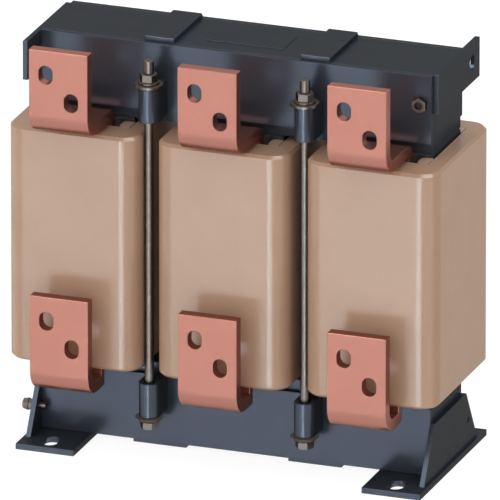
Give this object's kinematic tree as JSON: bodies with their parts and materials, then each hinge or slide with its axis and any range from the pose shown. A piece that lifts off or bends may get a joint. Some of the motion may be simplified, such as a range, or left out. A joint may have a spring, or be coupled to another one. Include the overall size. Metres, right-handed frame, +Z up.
{
  "type": "three-phase line reactor",
  "caption": "Iron-core line reactor with wrapped copper coils, bent copper terminal flags, a dark clamp frame with tie rods, slotted feet and lifting eyes",
  "frame": {"origin": "on the floor, under the middle of the outline", "axes": "+X along the yokes, from the left terminal to the right as seen from the front; +Y from the terminals to the back; +Z up"},
  "size_m": [0.44, 0.2208, 0.4234],
  "materials": {
    "frame_paint": "satin",
    "gap_board": "matte",
    "plated_steel": "satin",
    "coil_insulation": "satin",
    "copper": "satin copper"
  },
  "bodies": {
    "root": {"bottom_yoke": "frame_paint", "top_yoke": "frame_paint", "top_pads": "frame_paint", "bottom_pads": "frame_paint", "rating_plate": "frame_paint", "core_leg_left": "frame_paint", "core_leg_middle": "frame_paint", "core_leg_right": "frame_paint", "top_clamp_front": "frame_paint", "top_clamp_back": "frame_paint", "bottom_clamp_front": "frame_paint", "bottom_clamp_back": "frame_paint", "top_bosses_front": "frame_paint", "top_bosses_back": "frame_paint", "bottom_bosses_front": "frame_paint", "bottom_bosses_back": "frame_paint", "lifting_lug_left": "frame_paint", "lifting_lug_right": "frame_paint", "side_plate_left": "frame_paint", "side_plate_right": "frame_paint", "foot_plate_left": "frame_paint", "foot_plate_right": "frame_paint", "gap_plates_bottom": "gap_board", "gap_plates_top": "gap_board", "tie_rod_front_left": "plated_steel", "tie_rod_front_right": "plated_steel", "tie_rod_back_left": "plated_steel", "tie_rod_back_right": "plated_steel", "rod_flat_washers": "plated_steel", "rod_spring_washers": "plated_steel", "rod_nuts": "plated_steel", "rod_cone_washers": "plated_steel", "yoke_bolts": "plated_steel", "yoke_nuts": "plated_steel", "earth_bolt": "plated_steel", "earth_nut": "plated_steel", "earth_washer": "plated_steel", "coil_wrap_left": "coil_insulation", "coil_wrap_middle": "coil_insulation", "coil_wrap_right": "coil_insulation", "coil_former_left": "coil_insulation", "coil_former_middle": "coil_insulation", "coil_former_right": "coil_insulation", "duct_sticks_left": "coil_insulation", "duct_sticks_middle": "coil_insulation", "duct_sticks_right": "coil_insulation", "coil_winding_left": "copper", "coil_winding_middle": "copper", "coil_winding_right": "copper", "upper_terminal_left": "copper", "upper_terminal_middle": "copper", "upper_terminal_right": "copper", "lower_terminal_left": "copper", "lower_terminal_middle": "copper", "lower_terminal_right": "copper", "lower_lead_left": "copper", "lower_lead_middle": "copper", "lower_lead_right": "copper"}
  },
  "joints": []
}
